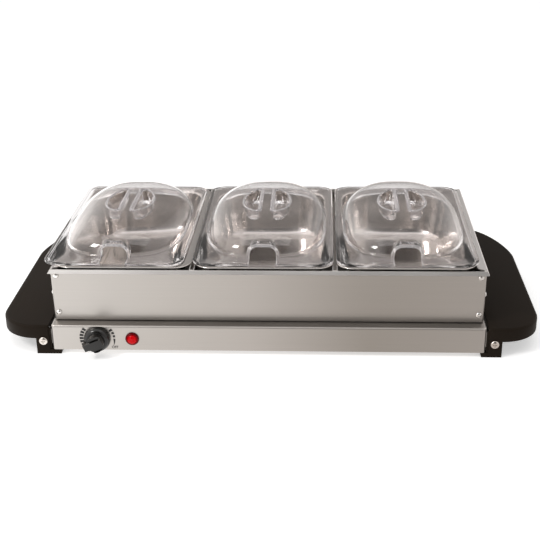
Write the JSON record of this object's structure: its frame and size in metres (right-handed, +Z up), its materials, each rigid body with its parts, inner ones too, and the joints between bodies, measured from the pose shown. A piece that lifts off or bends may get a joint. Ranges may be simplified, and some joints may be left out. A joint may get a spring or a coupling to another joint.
{
  "type": "buffet server",
  "caption": "Countertop buffet server: warming base with wing handles, lift-off steel frame, steel pans and clear domed lift-off lids with split finger grips and spoon notches.",
  "frame": {"origin": "on the counter under the middle of the whole server, as its outer box stands", "axes": "+X to the viewer's right along the row of pans, +Y to the back, +Z up; the knob is on the -Y side"},
  "size_m": [0.61, 0.3268, 0.1338],
  "materials": {
    "base_steel": "satin, brushed along the front",
    "frame_steel": "satin, finely brushed",
    "pan_steel": "bright satin inside, polished corners",
    "rivet_steel": "bright",
    "screw_steel": "bright, slightly warm",
    "zinc_steel": "dull zinc-plated",
    "element_steel": "dull dark sheath",
    "wing_plastic": "fine satin texture",
    "knob_plastic": "semi-gloss",
    "gland_plastic": "matt",
    "phenolic": "matt brown moulding",
    "lamp_housing_plastic": "matt",
    "lamp_red": "glossy translucent red",
    "lid_clear": "clear, glossy"
  },
  "bodies": {
    "base": {"base_shell": "base_steel", "bottom_cover": "zinc_steel", "cover_screw_front_left": "zinc_steel", "cover_screw_front_right": "zinc_steel", "cover_screw_back_left": "zinc_steel", "cover_screw_back_right": "zinc_steel", "wing_left": "wing_plastic", "wing_right": "wing_plastic", "wing_screw_front_left": "screw_steel", "wing_screw_front_right": "screw_steel", "wing_screw_back_left": "screw_steel", "wing_screw_back_right": "screw_steel", "heating_element": "element_steel", "element_clamp_left": "zinc_steel", "element_clamp_right": "zinc_steel", "thermal_cutout": "phenolic", "thermostat_body": "phenolic", "lamp_lens": "lamp_red", "lamp_housing": "lamp_housing_plastic", "cord_gland": "gland_plastic"},
    "knob_assembly": {"knob": "knob_plastic", "thermostat_spindle": "zinc_steel"},
    "frame": {"frame_front": "frame_steel", "frame_back": "frame_steel", "frame_left": "frame_steel", "frame_right": "frame_steel", "crossbar_left": "frame_steel", "crossbar_right": "frame_steel", "rivet_top_front_left": "rivet_steel", "rivet_top_front_right": "rivet_steel", "rivet_top_back_left": "rivet_steel", "rivet_top_back_right": "rivet_steel", "rivet_low_front_left": "rivet_steel", "rivet_low_front_right": "rivet_steel", "rivet_low_back_left": "rivet_steel", "rivet_low_back_right": "rivet_steel", "rivet_end_front_left": "rivet_steel", "rivet_end_front_right": "rivet_steel", "rivet_end_back_left": "rivet_steel", "rivet_end_back_right": "rivet_steel"},
    "pan_left_body": {"pan_left": "pan_steel"},
    "pan_middle_body": {"pan_middle": "pan_steel"},
    "pan_right_body": {"pan_right": "pan_steel"},
    "lid_left_body": {"lid_left": "lid_clear"},
    "lid_middle_body": {"lid_middle": "lid_clear"},
    "lid_right_body": {"lid_right": "lid_clear"}
  },
  "joints": [
    {"name": "knob_turn", "type": "hinge", "parent": "base", "child": "knob_assembly", "pos_m": [-0.1909, -0.1449, 0.0201], "axis": [0, -1, 0], "range_deg": [-243, 0]},
    {"name": "frame_lift", "type": "slide", "parent": "base", "child": "frame", "axis": [0, 0, 1], "range_m": [0, 0.12]},
    {"name": "pan_left_lift", "type": "slide", "parent": "frame", "child": "pan_left_body", "axis": [0, 0, 1], "range_m": [0, 0.07]},
    {"name": "pan_middle_lift", "type": "slide", "parent": "frame", "child": "pan_middle_body", "axis": [0, 0, 1], "range_m": [0, 0.07]},
    {"name": "pan_right_lift", "type": "slide", "parent": "frame", "child": "pan_right_body", "axis": [0, 0, 1], "range_m": [0, 0.07]},
    {"name": "lid_left_lift", "type": "slide", "parent": "pan_left_body", "child": "lid_left_body", "axis": [0, 0, 1], "range_m": [0, 0.06]},
    {"name": "lid_middle_lift", "type": "slide", "parent": "pan_middle_body", "child": "lid_middle_body", "axis": [0, 0, 1], "range_m": [0, 0.06]},
    {"name": "lid_right_lift", "type": "slide", "parent": "pan_right_body", "child": "lid_right_body", "axis": [0, 0, 1], "range_m": [0, 0.06]}
  ]
}
